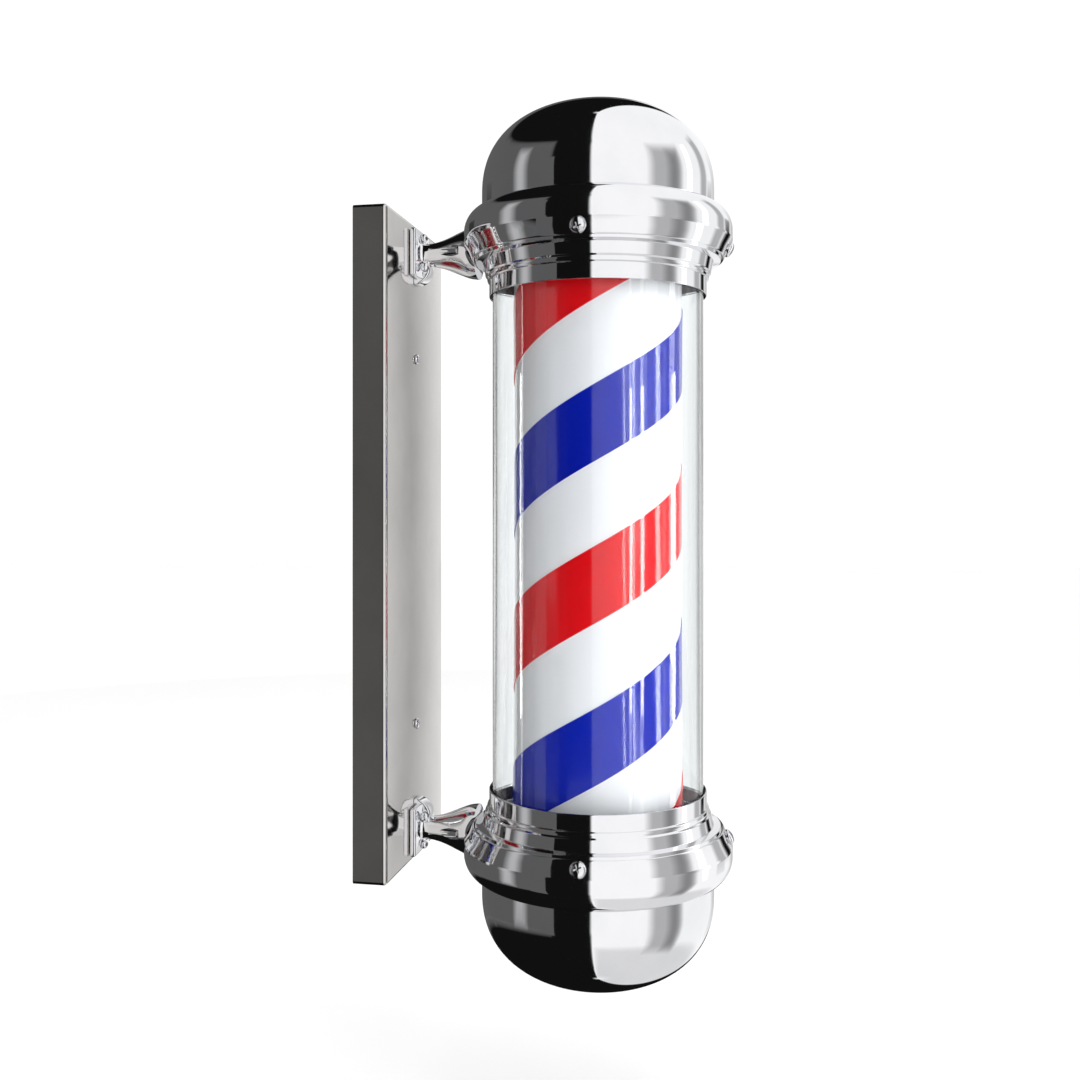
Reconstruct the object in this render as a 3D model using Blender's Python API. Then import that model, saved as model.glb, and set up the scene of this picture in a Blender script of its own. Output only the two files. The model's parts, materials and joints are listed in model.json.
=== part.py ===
"""Barber pole light for a wall: two arms hold a clear tube between chrome domes,
and a lit, striped drum turns inside the tube.

Metres, +Z up. The wall is the plane Y = 0 and the object stands out of it towards -Y.
The origin is the middle of the wall plate's back face.
"""
import math

import bmesh
import bpy
from mathutils import Matrix, Vector

for old in list(bpy.data.objects):
    bpy.data.objects.remove(old, do_unlink=True)

MM = 0.001

# ---- driving dimensions ------------------------------------------------------
GAP = 0.3 * MM                  # clearance between neighbouring solids
SIDES = 32                      # facets of the large turned pieces

# wall box
BOX_MARGIN = 24.6 * MM          # cover beyond the arms' axes, above and below
BOX_W = 156 * MM
BOX_T = 27 * MM                 # how far the cover stands off the wall
COVER_SHEET = 1.5 * MM
COVER_BEND = 3 * MM             # outer radius of the folded edges
PLATE_SHEET = 2 * MM
PLATE_INSET = 4 * MM            # wall plate's edge inside the cover's wall
COVER_SCREW_Z = 150 * MM
POST_R = 6 * MM
WALL_HOLE_R = 3 * MM
WALL_HOLE_EDGE_X = 22.5 * MM    # wall plate's holes from its side edges
WALL_HOLE_EDGE_Z = 39.5 * MM
INLET_R = 6 * MM                # hole for the supply inlet
GLAND_LIP = 2.5 * MM
TERMINAL = (46 * MM, 14 * MM, 20 * MM)
TERMINAL_RISE = 55 * MM         # terminal block above the cover's bottom edge
M4_R = 2 * MM
M3_R = 1.5 * MM
SCREW_ROOM = 0.4 * MM           # radial clearance of a screw in its hole

# arms
ARM_REACH = 151 * MM            # cover's front face to the pole's axis
FOOT_W = 40 * MM
FOOT_H = 38.4 * MM
FOOT_T = 5 * MM
FOOT_SCREW_UP = 14.2 * MM       # foot's outer screw from the arm's axis
FOOT_SCREW_HEAD_R = 3.4 * MM
HORN_NECK_R = 9 * MM
HORN_NECK_END = 12 * MM         # where the arm starts to widen
HORN_MOUTH_R = 21 * MM
HORN_GRIP = 9 * MM              # how far the mouth reaches in under the shoulder
WIRE_BORE_R = 3 * MM
LUG_R = 13.5 * MM
LUG_W = 14 * MM
LUG_DROP = 11 * MM              # lug's centre from the arm's axis, towards the middle
LUG_SCREW_OUT = 3.9 * MM        # lug screw's axis beyond the foot's front
LUG_SCREW_HEAD_R = 3.4 * MM
SADDLE_X = 15.5 * MM            # saddle screws each side of the arm's axis
SADDLE_T = 3.5 * MM             # saddle left under a screw's head
SADDLE_POCKET_R = 4.3 * MM
ARM_BOLT_X = 14 * MM
BACKING_T = 3 * MM
POLE_FIT = 0.45 * MM            # clearance of the saddles round the facetted pole

# pole, outwards from the clear tube
TUBE_R = 84 * MM
TUBE_WALL = 3 * MM
TUBE_HALF = 203 * MM            # half the tube's length
SHEET = 1.5 * MM                # sheet of the spun collar and shoulder
COLLAR_ROOM = 1.2 * MM          # collar's bore round the tube
COLLAR_GRIP = 7.5 * MM          # collar's lip over the tube's end
COLLAR_STEP = 4.9 * MM          # collar's neck beyond its lip
COLLAR_H = 27.1 * MM            # lip to flange
SHELF_DEPTH = 3.4 * MM          # tube's end to the shelf that stops it
SHELF_W = 2.5 * MM              # shelf inside the tube's bore
SHOULDER_STEP = 8.4 * MM        # shoulder's lip beyond the collar's neck
SHOULDER_LIFT = 1.7 * MM
BEVEL_R = 6.7 * MM              # bevel's run and rise
BEVEL_H = 12.5 * MM
BAND_H = 9.2 * MM               # straight part of the shoulder
BULGE_H = 17 * MM
DOME_STEP = 1 * MM              # dome's skirt beyond the collar's neck
DOME_SHEET = 1.2 * MM
DOME_ROOM = 0.8 * MM            # shoulder's in-turned edge round the dome
DOME_SKIRT_H = 14 * MM          # straight skirt above the seam
DOME_CROWN_H = 70.5 * MM
DOME_POWER = 2.35               # squareness of the dome's curve
BEAD = 2 * MM                   # dome's bead under the shoulder's edge
CHASSIS_T = 2 * MM
FLANGE_SCREW_HEAD_R = 6 * MM

# drum
AIR_GAP = 14.8 * MM             # between drum and tube
DRUM_WALL = 1.2 * MM
DRUM_OVERLAP = 4 * MM           # drum's end beyond the tube's end
STRIPE_T = 0.4 * MM
STRIPE_PITCH = 240.8 * MM       # rise of a stripe in one turn
STRIPE_H = 57.5 * MM            # height of a coloured stripe
BLUE_Z_AT_SIDE = 87.3 * MM      # blue stripe's middle on the side facing -X
CAP_T = 3 * MM
CAP_RIM_H = 10 * MM
CAP_RIM_T = 1.6 * MM
HUB_R = 11 * MM
HUB_FLANGE = 9 * MM
SHAFT_R = 3 * MM

# drive and lamp
MOTOR_R = 25 * MM
MOTOR_H = 18 * MM
GEARBOX_H = 12 * MM
GEARBOX_R = 26 * MM
BOSS_R = 7 * MM
EAR_W = 12 * MM
EAR_REACH = 12 * MM
EAR_T = 2 * MM
GUIDE_R = 27.5 * MM
GUIDE_BORE_R = 21.5 * MM
GUIDE_FLANGE = 8 * MM
GUIDE_FIT = 0.8 * MM            # running clearance of the drum's upper cap
HOLDER_R = 19.5 * MM
HOLDER_DROP = 35 * MM           # holder's mouth below the drum's upper end
SOCKET_R = 14.2 * MM
SOCKET_H = 30 * MM
LAMP_R = 20 * MM
LAMP_LEN = 150 * MM

# ---- values that follow -------------------------------------------------------
POLE_Y = -(BOX_T + ARM_REACH)
INLET_Y = -(BOX_T - COVER_SHEET + PLATE_SHEET) / 2               # midway in the box
COLLAR_BORE_R = TUBE_R + COLLAR_ROOM
COLLAR_R = COLLAR_BORE_R + SHEET
COLLAR_NECK_R = COLLAR_R + COLLAR_STEP
COLLAR_LIP_Z = TUBE_HALF - COLLAR_GRIP
COLLAR_FLANGE_Z = COLLAR_LIP_Z + COLLAR_H
SHELF_R = TUBE_R - TUBE_WALL - SHELF_W
SHELF_Z = TUBE_HALF + SHELF_DEPTH
SHOULDER_LIP_R = COLLAR_NECK_R + SHOULDER_STEP
SHOULDER_LIP_Z = COLLAR_FLANGE_Z + SHOULDER_LIFT
SHOULDER_BEVEL_R = SHOULDER_LIP_R + BEVEL_R
SHOULDER_R = SHOULDER_BEVEL_R + GAP             # widest point of the pole
BEVEL_TOP_Z = SHOULDER_LIP_Z + BEVEL_H
BULGE_Z = BEVEL_TOP_Z + BAND_H
SEAM_Z = BULGE_Z + BULGE_H
DOME_R = COLLAR_NECK_R + DOME_STEP
SEAM_R = DOME_R + DOME_ROOM
DOME_STRAIGHT_Z = SEAM_Z + DOME_SKIRT_H
DOME_TOP_Z = DOME_STRAIGHT_Z + DOME_CROWN_H
DRUM_R = TUBE_R - TUBE_WALL - AIR_GAP
DRUM_HALF = TUBE_HALF + DRUM_OVERLAP
ARM_Z = BEVEL_TOP_Z - 1.4 * MM                  # arm axes above and below the middle
BOX_H = 2 * (ARM_Z + BOX_MARGIN)
BACKING = 2 * (BOX_MARGIN - COVER_SHEET - GLAND_LIP - 2 * GAP)   # square, clear of the inlet
HORN_LEN = ARM_REACH - SHOULDER_R + HORN_GRIP
SADDLE_SEAT = ARM_REACH - SHOULDER_R - SADDLE_T
bevel_dir = Vector((SHOULDER_BEVEL_R - SHOULDER_LIP_R, BEVEL_TOP_Z - SHOULDER_LIP_Z))
BEVEL_LEN = bevel_dir.length
bevel_dir.normalize()
BEVEL_IN = Vector((-bevel_dir.y, bevel_dir.x))      # into the shoulder, across its bevel


# ---- materials ----------------------------------------------------------------
def material(name, colour, roughness, metallic, alpha=1.0):
    mat = bpy.data.materials.new(name)
    mat.use_nodes = True
    shader = mat.node_tree.nodes["Principled BSDF"]
    shader.inputs["Base Color"].default_value = (*colour, 1.0)
    shader.inputs["Roughness"].default_value = roughness
    shader.inputs["Metallic"].default_value = metallic
    shader.inputs["Alpha"].default_value = alpha
    mat.diffuse_color = (*colour, alpha)
    return mat


CHROME = material("chrome", (0.82, 0.83, 0.85), 0.05, 1.0)
STAINLESS = material("stainless", (0.62, 0.60, 0.57), 0.18, 1.0)
ZINC = material("zinc_steel", (0.55, 0.56, 0.58), 0.4, 1.0)
SCREW = material("screw_steel", (0.75, 0.76, 0.78), 0.15, 1.0)
BRASS = material("brass", (0.72, 0.55, 0.25), 0.3, 1.0)
ACRYLIC = material("clear_acrylic", (0.93, 0.97, 0.98), 0.03, 0.0, 0.18)
OPAL = material("white_drum", (0.93, 0.93, 0.94), 0.25, 0.0)
RED = material("red_vinyl", (0.75, 0.02, 0.03), 0.2, 0.0)
BLUE = material("blue_vinyl", (0.0, 0.03, 0.55), 0.2, 0.0)
RUBBER = material("black_rubber", (0.03, 0.03, 0.03), 0.8, 0.0)
NYLON = material("white_nylon", (0.86, 0.86, 0.83), 0.45, 0.0)
CERAMIC = material("ceramic", (0.88, 0.87, 0.84), 0.3, 0.0)
LAMP_GLASS = material("lamp_diffuser", (0.95, 0.94, 0.90), 0.35, 0.0)
MOTOR_STEEL = material("motor_steel", (0.40, 0.41, 0.43), 0.35, 1.0)


# ---- helpers ------------------------------------------------------------------
def anchor(name, location, parent=None):
    empty = bpy.data.objects.new(name, None)
    bpy.context.collection.objects.link(empty)
    empty.location = location
    empty.parent = parent
    return empty


def finish(name, bm, mat, location=(0, 0, 0), parent=None, smooth=True):
    bmesh.ops.recalc_face_normals(bm, faces=bm.faces[:])
    mesh = bpy.data.meshes.new(name)
    bm.to_mesh(mesh)
    bm.free()
    obj = bpy.data.objects.new(name, mesh)
    bpy.context.collection.objects.link(obj)
    obj.location = location
    obj.parent = parent
    if mat is not None:
        mesh.materials.append(mat)
    if smooth:
        mesh.shade_smooth()
        mesh.set_sharp_from_angle(angle=math.radians(32))
    return obj


def turned(name, profile, mat, sides=SIDES, end=1, location=(0, 0, 0), parent=None, start=0.0):
    """A closed (r, z) outline turned about Z; end = -1 makes the lower copy of it."""
    bm = bmesh.new()
    rings = []
    for r, z in profile:
        if r < 1e-6:
            rings.append([bm.verts.new((0, 0, end * z))])
            continue
        ring = []
        for k in range(sides):
            a = start + 2 * math.pi * k / sides
            ring.append(bm.verts.new((r * math.cos(a), r * math.sin(a), end * z)))
        rings.append(ring)
    for i, lower in enumerate(rings):
        upper = rings[(i + 1) % len(rings)]
        if len(lower) == 1 and len(upper) == 1:
            continue
        for k in range(sides):
            n = (k + 1) % sides
            corners = [lower[k % len(lower)], lower[n % len(lower)],
                       upper[n % len(upper)], upper[k % len(upper)]]
            bm.faces.new(list(dict.fromkeys(corners)))
    return finish(name, bm, mat, location, parent)


def block(name, size, mat, location, parent=None, bevel=0.0, segments=1):
    bm = bmesh.new()
    bmesh.ops.create_cube(bm, size=1.0)
    bmesh.ops.scale(bm, vec=size, verts=bm.verts[:])
    if bevel > 0:
        bmesh.ops.bevel(bm, geom=bm.edges[:], offset=bevel, segments=segments,
                        affect="EDGES", profile=0.5)
    return finish(name, bm, mat, location, parent)


def rod(name, radius, length, mat, location, parent=None, axis="Z", sides=24):
    """A plain round bar, its middle at location.

    Its corners are turned a little, so that no edge of a cutter lies on a facet's edge.
    """
    bm = bmesh.new()
    bmesh.ops.create_cone(bm, cap_ends=True, segments=sides, radius1=radius,
                          radius2=radius, depth=length,
                          matrix=Matrix.Rotation(0.3 * math.pi / sides, 4, "Z"))
    turn = {"Z": Matrix.Identity(3), "X": Matrix.Rotation(math.pi / 2, 3, "Y"),
            "Y": Matrix.Rotation(-math.pi / 2, 3, "X")}[axis]
    bmesh.ops.rotate(bm, cent=(0, 0, 0), matrix=turn, verts=bm.verts[:])
    return finish(name, bm, mat, location, parent)


def hide_tool(tool):
    tool.hide_render = True
    tool.display_type = "WIRE"
    return tool


def cut(obj, tool, operation="DIFFERENCE"):
    mod = obj.modifiers.new(operation.title(), "BOOLEAN")
    mod.operation = operation
    mod.solver = "EXACT"
    mod.object = hide_tool(tool)
    return obj


def hole(obj, radius, length, location, parent=None, axis="Z", sides=16):
    tool = rod(obj.name + "_hole_tool", radius, length, None, location, parent, axis, sides)
    return cut(obj, tool)


def screw(name, mat, head_r, head_h, shank_r, shank_len, sides=10):
    """A round-headed screw along +Z: the seat under its head is at its own z = 0."""
    crown = [(head_r, 0.0), (head_r * 0.94, head_h * 0.45), (head_r * 0.55, head_h * 0.93),
             (0.0, head_h)]
    outline = [(0.0, -shank_len), (shank_r, -shank_len), (shank_r, 0.0)] + crown
    return turned(name, outline, mat, sides=sides)


def place(obj, location, direction, parent=None):
    """Moves a piece modelled along +Z so that it points along direction."""
    obj.parent = parent
    obj.location = location
    obj.rotation_mode = "QUATERNION"
    obj.rotation_quaternion = Vector(direction).to_track_quat("Z", "Y")
    return obj


def around(radius, angle, z):
    return Vector((radius * math.cos(angle), radius * math.sin(angle), z))


# ---- wall box -------------------------------------------------------------------
wall = anchor("wall_frame", (0, 0, 0))

# the cover is folded from one sheet and open behind: its square back edges meet the wall
blank_t = BOX_T + 2 * COVER_BEND
cover = block("wall_cover", (BOX_W, blank_t, BOX_H), STAINLESS, (0, blank_t / 2 - BOX_T, 0),
              wall, COVER_BEND, 2)
inner_depth = BOX_T - COVER_SHEET
cut(cover, block("cover_inside_tool",
                 (BOX_W - 2 * COVER_SHEET, 2 * BOX_T, BOX_H - 2 * COVER_SHEET), None,
                 (0, BOX_T - inner_depth, 0), wall, COVER_BEND - COVER_SHEET, 1))
cut(cover, block("cover_back_tool", (2 * BOX_W, 4 * COVER_BEND, 2 * BOX_H), None,
                 (0, 2 * COVER_BEND, 0), wall))

plate_w = BOX_W - 2 * (COVER_SHEET + PLATE_INSET)
plate_h = BOX_H - 2 * (COVER_SHEET + PLATE_INSET)
wall_plate = block("wall_plate", (plate_w, PLATE_SHEET, plate_h), ZINC,
                   (0, -PLATE_SHEET / 2, 0), wall, 0.4 * MM)
for sx in (-1, 1):
    for sz in (-1, 1):
        hole(wall_plate, WALL_HOLE_R, 4 * PLATE_SHEET,
             (sx * (plate_w / 2 - WALL_HOLE_EDGE_X), 0, sz * (plate_h / 2 - WALL_HOLE_EDGE_Z)),
             wall, "Y")

ends = ((1, "upper"), (-1, "lower"))
post_len = BOX_T - COVER_SHEET - PLATE_SHEET - 2 * GAP
for s, end in ends:
    z = s * COVER_SCREW_Z
    post_y = -(PLATE_SHEET + GAP + post_len / 2)
    post = rod(end + "_cover_post", POST_R, post_len, ZINC, (0, post_y, z), wall, "Y", 6)
    hole(post, M4_R + SCREW_ROOM, post_len * 1.2, (0, post_y - post_len * 0.25, z), wall, "Y", 12)
    hole(cover, M4_R + SCREW_ROOM, 4 * COVER_SHEET, (0, -BOX_T, z), wall, "Y", 12)
    cover_screw = screw(end + "_cover_screw", SCREW, 4.5 * MM, 2.6 * MM, M4_R, 14 * MM)
    place(cover_screw, (0, -BOX_T - GAP, z), (0, -1, 0), wall)

# supply inlet in the cover's bottom edge, and the terminals above it
hole(cover, INLET_R, 6 * COVER_SHEET, (0, INLET_Y, -BOX_H / 2), wall, "Z", 16)
gland_neck = INLET_R - GAP
gland_rim = INLET_R + 2 * MM
gland_bore = INLET_R - 3 * MM
gland = [(gland_bore, -2.4 * MM), (gland_rim, -2.4 * MM),
         (gland_rim, -GAP), (gland_neck, -GAP), (gland_neck, COVER_SHEET + GAP),
         (gland_rim, COVER_SHEET + GAP), (gland_rim, COVER_SHEET + GLAND_LIP),
         (gland_bore, COVER_SHEET + GLAND_LIP)]
turned("inlet_grommet", gland, RUBBER, 16, 1, (0, INLET_Y, -BOX_H / 2), wall)

terminal_z = TERMINAL_RISE - BOX_H / 2
terminal_y = -(PLATE_SHEET + GAP + TERMINAL[1] / 2)
terminal = block("terminal_block", TERMINAL, NYLON, (0, terminal_y, terminal_z), wall, 1 * MM)
for k in range(3):
    x = (k - 1) * 14 * MM
    hole(terminal, 2.6 * MM, 8 * MM, (x, terminal_y - TERMINAL[1] / 2, terminal_z), wall, "Y", 12)

# ---- arms -----------------------------------------------------------------------
face_y = -BOX_T


def shoulder_bulge(width, height, steps):
    """Quarter ellipse from the shoulder's widest point up to its in-turned edge."""
    points = []
    for k in range(steps + 1):
        t = 0.5 * math.pi * k / steps
        points.append((SEAM_R + width * math.cos(t), BULGE_Z + height * math.sin(t)))
    return points


def beyond_face(distance):
    return face_y - distance


lug_screw_out = FOOT_T + GAP + LUG_SCREW_OUT

pole = anchor("pole_frame", (0, POLE_Y, 0), wall)

for s, end in ends:
    z = s * ARM_Z
    horn_steps = [(FOOT_T * 0.6, HORN_NECK_R + 1.2 * MM), (FOOT_T + 1.5 * MM, HORN_NECK_R + 0.4 * MM),
                  (HORN_NECK_END, HORN_NECK_R)]
    flare = [0.12, 0.30, 0.54, 0.79, 1.0]
    for k, grow in enumerate(flare):
        along = HORN_NECK_END + (0.2 + 0.17 * k) * (HORN_LEN - HORN_NECK_END)
        horn_steps.append((along, HORN_NECK_R + grow * (HORN_MOUTH_R - HORN_NECK_R)))
    horn_steps.append((HORN_LEN, HORN_MOUTH_R))
    outline = [(0.0, horn_steps[0][0])]
    outline += [(r, along) for along, r in horn_steps] + [(0.0, HORN_LEN)]
    horn = turned(end + "_horn_tool", outline, None, 28)
    place(horn, (0, face_y, z), (0, -1, 0), wall)

    foot_y = beyond_face(GAP + FOOT_T / 2)
    arm = block(end + "_arm", (FOOT_W, FOOT_T, FOOT_H), CHROME, (0, foot_y, z), wall, 1.2 * MM, 1)
    cut(arm, horn, "UNION")
    lug_z = z - s * LUG_DROP
    lug = rod(end + "_lug_tool", LUG_R, LUG_W, None, (0, beyond_face(GAP), lug_z), wall, "X", 28)
    cut(arm, lug, "UNION")
    behind = block(end + "_behind_tool", (2 * FOOT_W, FOOT_H, 3 * FOOT_H), None,
                   (0, face_y - GAP + FOOT_H / 2, z), wall)
    cut(arm, behind)
    r_fit = SHOULDER_R + POLE_FIT
    envelope = [(0.6 * SHOULDER_R, COLLAR_LIP_Z), (COLLAR_NECK_R + POLE_FIT, COLLAR_LIP_Z),
                (COLLAR_NECK_R + POLE_FIT, COLLAR_FLANGE_Z - POLE_FIT),
                (SHOULDER_LIP_R - 1.4 * MM, COLLAR_FLANGE_Z - POLE_FIT),
                (SHOULDER_LIP_R + POLE_FIT, SHOULDER_LIP_Z - POLE_FIT),
                (SHOULDER_BEVEL_R + POLE_FIT, BEVEL_TOP_Z - 0.2 * MM)]
    envelope += shoulder_bulge(SHOULDER_R - SEAM_R + POLE_FIT, SEAM_Z - BULGE_Z + POLE_FIT, 5)
    envelope += [(0.6 * SHOULDER_R, SEAM_Z + POLE_FIT)]
    fit = turned(end + "_pole_tool", envelope, None, SIDES, s, (0, 0, 0), pole)
    cut(arm, fit)
    hole(arm, WIRE_BORE_R, 2.4 * HORN_LEN, (0, face_y, z), wall, "Y", 12)
    for sx, side in ((-1, "near"), (1, "far")):
        x = sx * SADDLE_X
        hole(arm, SADDLE_POCKET_R, 30 * MM, (x, beyond_face(SADDLE_SEAT) + 15 * MM, z), wall, "Y", 16)
        hole(arm, M3_R + SCREW_ROOM, 2 * SADDLE_SEAT, (x, beyond_face(SADDLE_SEAT), z), wall, "Y", 12)
        end_y = math.sqrt((SHOULDER_R - 3 * MM) ** 2 - SADDLE_X ** 2)
        shank = ARM_REACH - end_y - SADDLE_SEAT + GAP
        piece = screw(f"{end}_saddle_screw_{side}", SCREW, 3.3 * MM, 2.6 * MM, M3_R, shank, 10)
        place(piece, (x, beyond_face(SADDLE_SEAT) + GAP, z), (0, 1, 0), wall)
        # bolt from inside the box, into the foot
        bx = sx * ARM_BOLT_X
        hole(arm, M4_R + SCREW_ROOM, 2 * (FOOT_T - 1.4 * MM), (bx, face_y, z), wall, "Y", 12)
    # lug's clamp screw, across the arm
    hole(arm, M3_R + SCREW_ROOM, 2 * (LUG_W - 4 * MM),
         (-LUG_W / 2, beyond_face(lug_screw_out), lug_z), wall, "X", 12)
    lug_screw = screw(end + "_lug_screw", SCREW, LUG_SCREW_HEAD_R, 2.2 * MM, M3_R, 8 * MM)
    place(lug_screw, (-LUG_W / 2 - GAP, beyond_face(lug_screw_out), lug_z), (-1, 0, 0), wall)
    # small screw on the foot's outer half
    foot_z = z + s * FOOT_SCREW_UP
    hole(arm, M3_R + SCREW_ROOM, 4 * FOOT_T, (0, face_y, foot_z), wall, "Y", 12)
    hole(cover, M3_R + SCREW_ROOM, 4 * COVER_SHEET, (0, face_y, foot_z), wall, "Y", 12)
    foot_screw = screw(end + "_foot_screw", SCREW, FOOT_SCREW_HEAD_R, 4.5 * MM, M3_R, FOOT_T + 5 * MM)
    place(foot_screw, (0, beyond_face(GAP + FOOT_T + GAP), foot_z), (0, -1, 0), wall)

    # inside the box: a backing plate and two bolts
    backing_y = face_y + COVER_SHEET + GAP + BACKING_T / 2
    backing = block(end + "_arm_backing", (BACKING, BACKING_T, BACKING), ZINC,
                    (0, backing_y, z), wall, 0.8 * MM)
    hole(backing, WIRE_BORE_R + 1 * MM, 4 * BACKING_T, (0, backing_y, z), wall, "Y", 16)
    hole(cover, WIRE_BORE_R + 1 * MM, 4 * COVER_SHEET, (0, face_y, z), wall, "Y", 16)
    hole(backing, M3_R + SCREW_ROOM, 4 * BACKING_T, (0, backing_y, foot_z), wall, "Y", 12)
    for sx, side in ((-1, "near"), (1, "far")):
        bx = sx * ARM_BOLT_X
        hole(cover, M4_R + SCREW_ROOM, 4 * COVER_SHEET, (bx, face_y, z), wall, "Y", 12)
        hole(backing, M4_R + SCREW_ROOM, 4 * BACKING_T, (bx, backing_y, z), wall, "Y", 12)
        seat_y = backing_y + BACKING_T / 2 + GAP
        reach = COVER_SHEET + BACKING_T + 3 * GAP + FOOT_T - 2.2 * MM
        outline = [(0.0, -reach), (2 * MM, -reach), (2 * MM, 0.0), (4 * MM, 0.0),
                   (4 * MM, 3 * MM), (0.0, 3 * MM)]
        bolt = turned(f"{end}_arm_bolt_{side}", outline, ZINC, 6)
        place(bolt, (bx, seat_y, z), (0, 1, 0), wall)

# ---- pole ends --------------------------------------------------------------------
lip = Vector((SHOULDER_LIP_R, SHOULDER_LIP_Z))
cone_start = lip + BEVEL_IN * (SHEET + GAP)
cone_end = cone_start + bevel_dir * (BEVEL_LEN - 4 * MM)
cone_in_start = cone_start + BEVEL_IN * SHEET
cone_in_end = cone_end + BEVEL_IN * SHEET
flange_top = COLLAR_FLANGE_Z + SHEET
ridge_z = SHELF_Z + 1.4 * MM
collar_outline = [
    (COLLAR_R, COLLAR_LIP_Z), (COLLAR_R, ridge_z), (COLLAR_R + 1.8 * MM, ridge_z + 0.9 * MM),
    (COLLAR_R + 1.8 * MM, ridge_z + 3.8 * MM), (COLLAR_R + 3.4 * MM, ridge_z + 5.2 * MM),
    (COLLAR_NECK_R, COLLAR_FLANGE_Z - 0.6 * MM), (cone_start.x - 0.9 * MM, COLLAR_FLANGE_Z),
    tuple(cone_start), tuple(cone_end), tuple(cone_in_end), tuple(cone_in_start),
    (cone_in_start.x - 0.7 * MM, flange_top), (COLLAR_NECK_R - SHEET, flange_top),
    (COLLAR_R + 2.0 * MM, ridge_z + 6.2 * MM), (COLLAR_R + 0.3 * MM, ridge_z + 4.0 * MM),
    (COLLAR_BORE_R, SHELF_Z + 1.6 * MM),
    (SHELF_R, SHELF_Z + 1.6 * MM), (SHELF_R, SHELF_Z), (COLLAR_BORE_R, SHELF_Z),
    (COLLAR_BORE_R, COLLAR_LIP_Z)]

inner_lip = lip + BEVEL_IN * SHEET
bevel_top = Vector((SHOULDER_BEVEL_R, BEVEL_TOP_Z))
inner_bevel_top = bevel_top + BEVEL_IN * SHEET
shoulder_outline = [tuple(lip), tuple(bevel_top)]
shoulder_outline += shoulder_bulge(SHOULDER_R - SEAM_R, SEAM_Z - BULGE_Z, 5)
inner_bulge = shoulder_bulge(SHOULDER_R - SEAM_R - SHEET, SEAM_Z - BULGE_Z - SHEET, 3)
shoulder_outline += list(reversed(inner_bulge))
shoulder_outline += [tuple(inner_bevel_top), tuple(inner_lip)]


def dome_curve(radius, straight_z, top_z, steps):
    """Superellipse from the skirt's top to the apex."""
    points = []
    for k in range(steps):
        t = 0.5 * math.pi * k / steps
        r = radius * math.cos(t) ** (2 / DOME_POWER)
        z = straight_z + (top_z - straight_z) * math.sin(t) ** (2 / DOME_POWER)
        points.append((r, z))
    return points + [(0.0, top_z)]


plate_z = flange_top + GAP
brim_z = plate_z + CHASSIS_T + GAP
DOME_INNER_R = DOME_R - DOME_SHEET
dome_outline = [(DOME_INNER_R, brim_z), (DOME_R + 2.8 * MM, brim_z),
                (DOME_R + 2.8 * MM, brim_z + DOME_SHEET), (DOME_R, brim_z + DOME_SHEET),
                (DOME_R, SEAM_Z - 6.5 * MM), (DOME_R + BEAD, SEAM_Z - 5 * MM),
                (DOME_R + BEAD, SEAM_Z - SHEET - 0.7 * MM), (DOME_R, SEAM_Z - SHEET - 0.1 * MM)]
dome_outline += dome_curve(DOME_R, DOME_STRAIGHT_Z, DOME_TOP_Z, 8)
dome_outline += list(reversed(dome_curve(DOME_INNER_R, DOME_STRAIGHT_Z, DOME_TOP_Z - DOME_SHEET, 5)))

bevel_mid = lip + bevel_dir * (BEVEL_LEN / 2)
screw_seat = bevel_mid - BEVEL_IN * 0.5 * MM
screw_angles = ((math.pi, "near"), (0.0, "far"), (1.5 * math.pi, "front"))

for s, end in ends:
    collar = turned(end + "_collar", collar_outline, CHROME, SIDES, s, (0, 0, 0), pole)
    shoulder = turned(end + "_shoulder", shoulder_outline, CHROME, SIDES, s, (0, 0, 0), pole)
    dome = turned(end + "_dome", dome_outline, CHROME, SIDES, s, (0, 0, 0), pole)
    hole(shoulder, WIRE_BORE_R, 20 * MM, (0, SHOULDER_R, s * ARM_Z), pole, "Y", 12)
    hole(dome, WIRE_BORE_R, 10 * MM, (0, DOME_R, s * ARM_Z), pole, "Y", 12)
    for sx in (-1, 1):
        hole(shoulder, M3_R + SCREW_ROOM, 10 * MM,
             (sx * SADDLE_X, SHOULDER_R - 2 * MM, s * ARM_Z), pole, "Y", 12)
    for angle, side in screw_angles:
        outward = Vector((-BEVEL_IN.x * math.cos(angle), -BEVEL_IN.x * math.sin(angle),
                          -s * BEVEL_IN.y))
        seat = around(screw_seat.x, angle, s * screw_seat.y)
        for sheet in (shoulder, collar):
            drill = rod(sheet.name + "_screw_tool", M4_R + SCREW_ROOM, 14 * MM, None,
                        (0, 0, 0), pole, "Z", 10)
            place(drill, seat, outward, pole)
            cut(sheet, drill)
        piece = screw(f"{end}_flange_screw_{side}", SCREW, FLANGE_SCREW_HEAD_R, 3.4 * MM,
                      M4_R, 6.5 * MM, 14)
        place(piece, seat, outward, pole)
    base_z = TUBE_HALF + GAP
    leg_r = TUBE_R - TUBE_WALL - GAP
    gasket = [(leg_r - 1.1 * MM, TUBE_HALF - 6 * MM), (leg_r, TUBE_HALF - 6 * MM),
              (leg_r, base_z), (COLLAR_BORE_R - GAP, base_z),
              (COLLAR_BORE_R - GAP, SHELF_Z - GAP), (leg_r - 1.1 * MM, SHELF_Z - GAP)]
    turned(end + "_tube_gasket", gasket, RUBBER, SIDES, s, (0, 0, 0), pole)

tube_in = TUBE_R - TUBE_WALL
turned("clear_tube", [(TUBE_R, -TUBE_HALF), (TUBE_R, TUBE_HALF), (tube_in, TUBE_HALF),
                      (tube_in, -TUBE_HALF)], ACRYLIC, SIDES, 1, (0, 0, 0), pole)

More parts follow.
